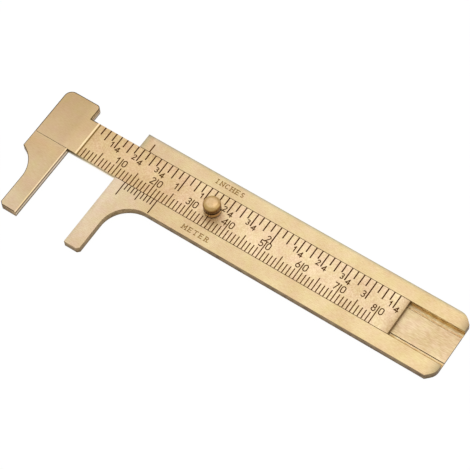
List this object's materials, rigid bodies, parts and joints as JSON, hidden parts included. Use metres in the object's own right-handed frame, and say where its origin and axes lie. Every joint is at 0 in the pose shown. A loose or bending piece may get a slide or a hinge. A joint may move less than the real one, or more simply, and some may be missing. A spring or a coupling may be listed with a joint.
{
  "type": "pocket vernier caliper",
  "caption": "Flat brass slide caliper: a channelled frame with a fixed jaw and vernier, and a graduated slide that carries the moving jaw and a thumb knob.",
  "frame": {"origin": "the vernier zero line, at the middle of the channel's width, on the flat back of the frame", "axes": "+X along the frame away from the jaws, +Y across the frame away from the jaw tips, +Z out of the graduated face"},
  "size_m": [0.1109, 0.0336, 0.0057],
  "materials": {
    "brass_rail": "satin brushed brass",
    "brass_slide": "fine matt brass with dark filled engraving",
    "brass_jaw": "satin brass",
    "brass_knob": "turned and polished brass",
    "bronze": "rolled bronze",
    "pin_steel": "ground steel"
  },
  "bodies": {
    "frame": {"frame": "brass_rail", "stop_pin": "pin_steel"},
    "slide": {"slide": "brass_slide", "moving_jaw": "brass_jaw", "jaw_dowels": "bronze", "thumb_knob": "brass_knob", "knob_washer": "bronze", "friction_spring": "bronze"}
  },
  "joints": [
    {"name": "jaw_travel", "type": "slide", "parent": "frame", "child": "slide", "axis": [-1, 0, 0], "range_m": [-0.0139, 0.0661]}
  ]
}
